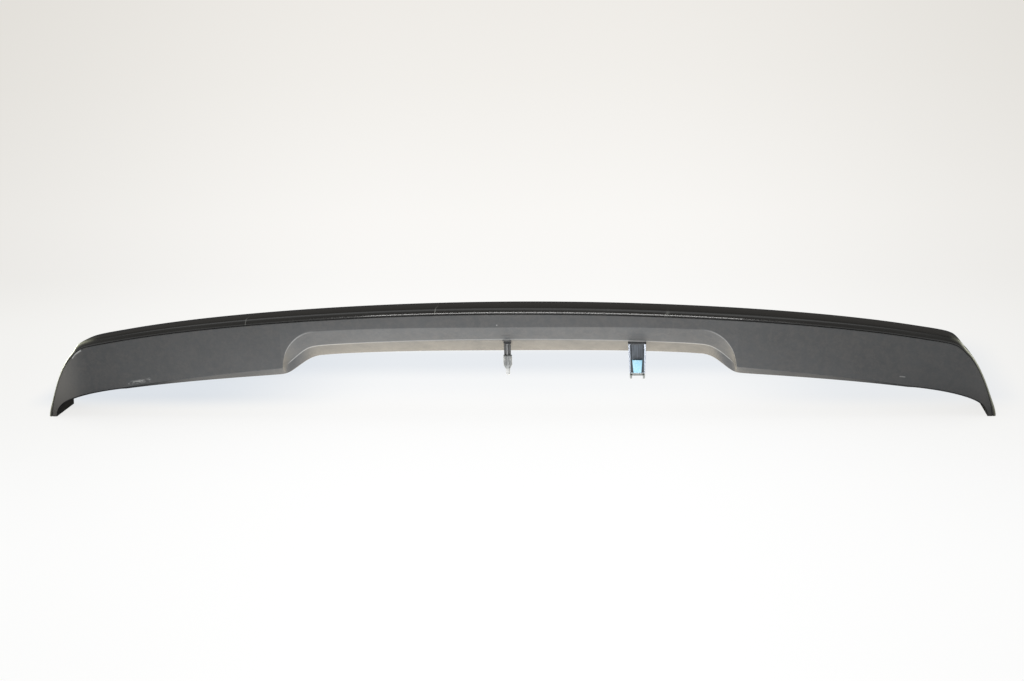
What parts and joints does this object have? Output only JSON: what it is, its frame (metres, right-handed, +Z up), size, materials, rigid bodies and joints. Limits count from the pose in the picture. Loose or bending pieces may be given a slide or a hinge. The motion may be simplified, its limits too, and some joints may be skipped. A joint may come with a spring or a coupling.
{
  "type": "tailgate spoiler",
  "caption": "Tailgate spoiler: gloss top skin bonded to a grained lower cover with a wide central recess, drooping ends, a locating pin, a spring clip and threaded inserts.",
  "frame": {"origin": "on the ground plane under the centre of the bounding box; the part stands on its two drooping ends", "axes": "+X across the car, to the right as seen from behind; +Y towards the front of the car; +Z up"},
  "size_m": [1.0432, 0.0916, 0.1269],
  "materials": {
    "gloss_paint": "clear-coated black, polished",
    "grained_plastic": "fine moulded grain, satin",
    "pin_plastic": "smooth moulded",
    "foam": "closed-cell foam",
    "spring_steel": "zinc-plated, bright",
    "brass": "turned"
  },
  "bodies": {
    "root": {"top_skin": "gloss_paint", "rear_cover": "grained_plastic", "centre_pin": "pin_plastic", "pin_gasket": "foam", "spring_clip": "spring_steel", "clip_gasket": "foam", "threaded_inserts": "brass", "insert_gaskets": "foam", "front_seal": "foam"}
  },
  "joints": []
}
